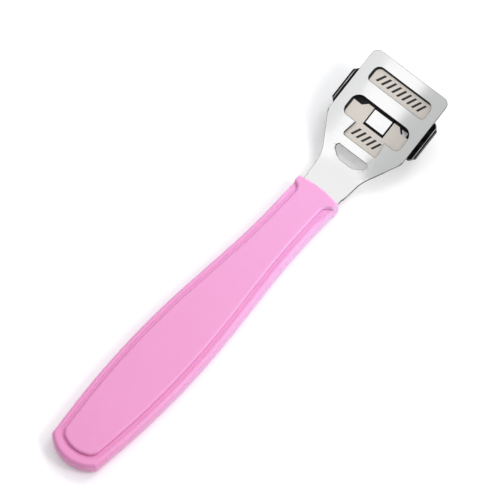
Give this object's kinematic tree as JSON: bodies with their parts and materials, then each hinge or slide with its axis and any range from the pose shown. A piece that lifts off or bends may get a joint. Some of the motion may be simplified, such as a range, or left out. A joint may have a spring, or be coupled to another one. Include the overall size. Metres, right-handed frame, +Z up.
{
  "type": "callus shaver",
  "caption": "Hand-held callus shaver: a flat moulded handle with a raised panel, a bent-up arched steel head plate, a thin arched blade under it and a dark bow that carries the blade.",
  "frame": {"origin": "centre of the bounding box, on the plane that the handle rests on", "axes": "+Y runs along the handle towards the head, +X across it, +Z up, away from the surface"},
  "size_m": [0.0348, 0.1716, 0.0174],
  "materials": {
    "handle": "satin pink",
    "plate": "polished stainless",
    "blade": "satin spring steel",
    "bow": "glossy black"
  },
  "bodies": {
    "root": {"handle": "handle", "head_plate": "plate", "blade": "blade", "bow": "bow"}
  },
  "joints": []
}
